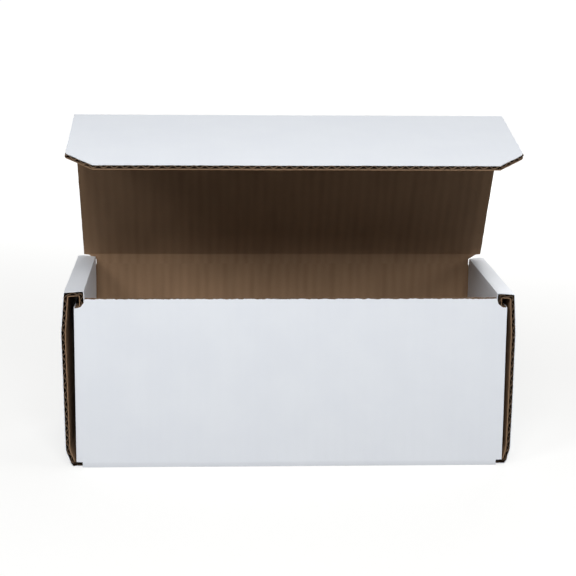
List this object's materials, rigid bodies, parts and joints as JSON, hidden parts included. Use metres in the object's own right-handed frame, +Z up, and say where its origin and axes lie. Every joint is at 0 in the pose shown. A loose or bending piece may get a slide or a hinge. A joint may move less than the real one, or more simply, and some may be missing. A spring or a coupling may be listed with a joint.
{
  "type": "corrugated mailer box",
  "caption": "Long corrugated mailer box with roll-over side walls and an open hinged lid that ends in a chamfered tuck flap.",
  "frame": {"origin": "centre of the base's underside", "axes": "+X to the right along the front wall, +Y from the front wall to the back wall, +Z up"},
  "size_m": [0.2769, 0.1634, 0.2116],
  "materials": {
    "white_board": "matte white-faced corrugated board",
    "kraft_board": "matte brown kraft-faced corrugated board"
  },
  "bodies": {
    "tray": {"tray": "white_board"},
    "lid": {"lid_panel": "kraft_board"},
    "flap": {"tuck_flap": "white_board"}
  },
  "joints": [
    {"name": "lid_hinge", "type": "hinge", "parent": "tray", "child": "lid", "pos_m": [0, 0.05775, 0.1121], "axis": [-1, 0, 0], "range_deg": [-55.5, 124.5]},
    {"name": "flap_hinge", "type": "hinge", "parent": "lid", "child": "flap", "pos_m": [0, -0.0096, 0.21009], "axis": [-1, 0, 0], "range_deg": [-23.5, 66.5]}
  ]
}
